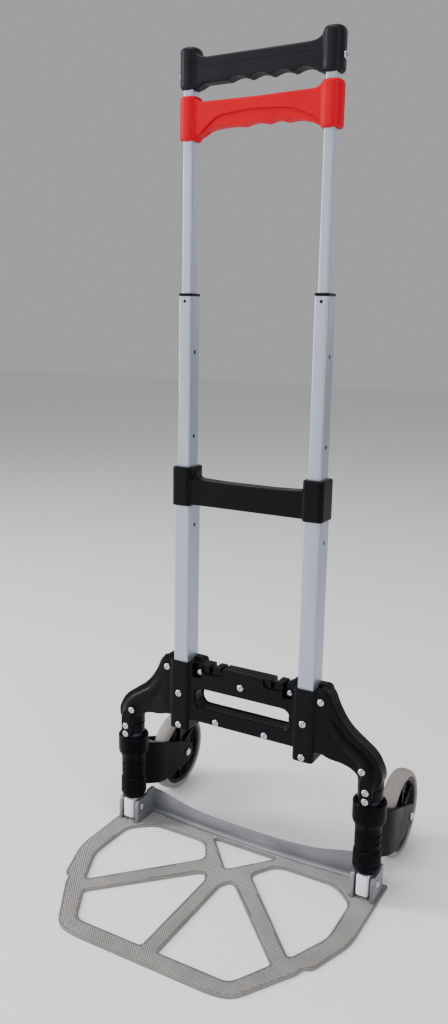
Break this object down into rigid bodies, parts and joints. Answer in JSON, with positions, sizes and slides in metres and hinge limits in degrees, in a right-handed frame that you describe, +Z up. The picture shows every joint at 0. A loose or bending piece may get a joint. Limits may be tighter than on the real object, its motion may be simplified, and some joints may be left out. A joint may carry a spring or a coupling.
{
  "type": "hand truck",
  "caption": "Folding hand truck: a hinged spoked toe plate, wheels that swing in under the frame, and a telescopic handle with a red release bar.",
  "frame": {"origin": "on the floor, in the middle of the object's box", "axes": "+Z up along the tubes, +X across the truck to the right hand side of someone who stands behind the toe plate's front edge and looks at the wheels, +Y from the toe plate to the wheels"},
  "size_m": [0.388, 0.4104, 0.993],
  "materials": {
    "black_plastic": "satin black moulded plastic",
    "red_plastic": "satin red moulded plastic",
    "tube_aluminium": "silver satin anodised extrusion",
    "cast_aluminium": "dull cast aluminium with a raised grip pattern",
    "zinc_steel": "bright zinc plated steel",
    "white_nylon": "white nylon",
    "hub_plastic": "black moulded plastic",
    "grey_tyre": "warm grey soft rubber"
  },
  "bodies": {
    "root": {"frame_front_shell": "black_plastic", "frame_rear_shell": "black_plastic", "cross_bar": "black_plastic", "frame_screw_middle": "zinc_steel", "lower_tube_left": "tube_aluminium", "leg_tube_left": "tube_aluminium", "leg_collar_left": "black_plastic", "leg_end_left": "white_nylon", "frame_screw_shoulder_left": "zinc_steel", "frame_screw_notch_left": "zinc_steel", "frame_screw_beam_left": "zinc_steel", "frame_screw_elbow_left": "zinc_steel", "frame_screw_sleeve_left": "zinc_steel", "frame_screw_boss_left": "zinc_steel", "leg_screw_upper_left": "zinc_steel", "leg_screw_lower_left": "zinc_steel", "lower_tube_right": "tube_aluminium", "leg_tube_right": "tube_aluminium", "leg_collar_right": "black_plastic", "leg_end_right": "white_nylon", "frame_screw_shoulder_right": "zinc_steel", "frame_screw_notch_right": "zinc_steel", "frame_screw_beam_right": "zinc_steel", "frame_screw_elbow_right": "zinc_steel", "frame_screw_sleeve_right": "zinc_steel", "frame_screw_boss_right": "zinc_steel", "leg_screw_upper_right": "zinc_steel", "leg_screw_lower_right": "zinc_steel"},
    "toe_plate": {"toe_plate": "cast_aluminium", "pivot_pin_left": "zinc_steel", "pivot_pin_right": "zinc_steel"},
    "left_bracket": {"wheel_bracket_left": "black_plastic", "axle_left": "zinc_steel"},
    "left_wheel": {"wheel_hub_left": "hub_plastic", "tyre_left": "grey_tyre"},
    "right_bracket": {"wheel_bracket_right": "black_plastic", "axle_right": "zinc_steel"},
    "right_wheel": {"wheel_hub_right": "hub_plastic", "tyre_right": "grey_tyre"},
    "middle_stage": {"middle_tube_left": "tube_aluminium", "middle_collar_left": "black_plastic", "middle_guide_left": "black_plastic", "middle_tube_right": "tube_aluminium", "middle_collar_right": "black_plastic", "middle_guide_right": "black_plastic"},
    "upper_stage": {"upper_tube_left": "tube_aluminium", "upper_guide_left": "black_plastic", "handle_screw_left": "zinc_steel", "upper_tube_right": "tube_aluminium", "upper_guide_right": "black_plastic", "handle_screw_right": "zinc_steel", "handle_grip": "black_plastic", "handle_cap": "black_plastic"},
    "release": {"release_handle": "red_plastic", "release_rod_left": "zinc_steel", "release_rod_right": "zinc_steel"},
    "upper_lock_left": {"upper_lock_pin_left": "zinc_steel"},
    "middle_lock_left": {"middle_lock_pin_left": "zinc_steel"},
    "upper_lock_right": {"upper_lock_pin_right": "zinc_steel"},
    "middle_lock_right": {"middle_lock_pin_right": "zinc_steel"}
  },
  "joints": [
    {"name": "plate_fold", "type": "hinge", "parent": "root", "child": "toe_plate", "pos_m": [0, 0.03375, 0.0227], "axis": [-1, 0, 0], "range_deg": [0, 88]},
    {"name": "left_wheel_swing", "type": "hinge", "parent": "root", "child": "left_bracket", "pos_m": [-0.1726, 0.03525, 0.08], "axis": [0, 0, 1], "range_deg": [-90, 0]},
    {"name": "left_wheel_spin", "type": "hinge", "parent": "left_bracket", "child": "left_wheel", "pos_m": [-0.1726, 0.14775, 0.0575], "axis": [1, 0, 0], "continuous": true},
    {"name": "right_wheel_swing", "type": "hinge", "parent": "root", "child": "right_bracket", "pos_m": [0.1726, 0.03525, 0.08], "axis": [0, 0, 1], "range_deg": [0, 90]},
    {"name": "right_wheel_spin", "type": "hinge", "parent": "right_bracket", "child": "right_wheel", "pos_m": [0.1726, 0.14775, 0.0575], "axis": [1, 0, 0], "continuous": true},
    {"name": "middle_stage_slide", "type": "slide", "parent": "root", "child": "middle_stage", "axis": [0, 0, 1], "range_m": [-0.205, 0]},
    {"name": "upper_stage_slide", "type": "slide", "parent": "middle_stage", "child": "upper_stage", "axis": [0, 0, 1], "range_m": [-0.168, 0]},
    {"name": "release_pull", "type": "slide", "parent": "upper_stage", "child": "release", "axis": [0, 0, 1], "range_m": [0, 0.0065], "stiffness_N_per_m": 500, "springref_m": -0.004},
    {"name": "upper_lock_left_slide", "type": "slide", "parent": "upper_stage", "child": "upper_lock_left", "axis": [1, 0, 0], "range_m": [0, 0.003]},
    {"name": "middle_lock_left_slide", "type": "slide", "parent": "middle_stage", "child": "middle_lock_left", "axis": [1, 0, 0], "range_m": [0, 0.003]},
    {"name": "upper_lock_right_slide", "type": "slide", "parent": "upper_stage", "child": "upper_lock_right", "axis": [-1, 0, 0], "range_m": [0, 0.003]},
    {"name": "middle_lock_right_slide", "type": "slide", "parent": "middle_stage", "child": "middle_lock_right", "axis": [-1, 0, 0], "range_m": [0, 0.003]}
  ],
  "couplings": [
    {"joint": "left_wheel_swing", "follows": "plate_fold", "ratio": -1.0227},
    {"joint": "right_wheel_swing", "follows": "plate_fold", "ratio": 1.0227},
    {"joint": "upper_lock_left_slide", "follows": "release_pull", "ratio": 0.4615},
    {"joint": "middle_lock_left_slide", "follows": "release_pull", "ratio": 0.4615},
    {"joint": "upper_lock_right_slide", "follows": "release_pull", "ratio": 0.4615},
    {"joint": "middle_lock_right_slide", "follows": "release_pull", "ratio": 0.4615}
  ]
}
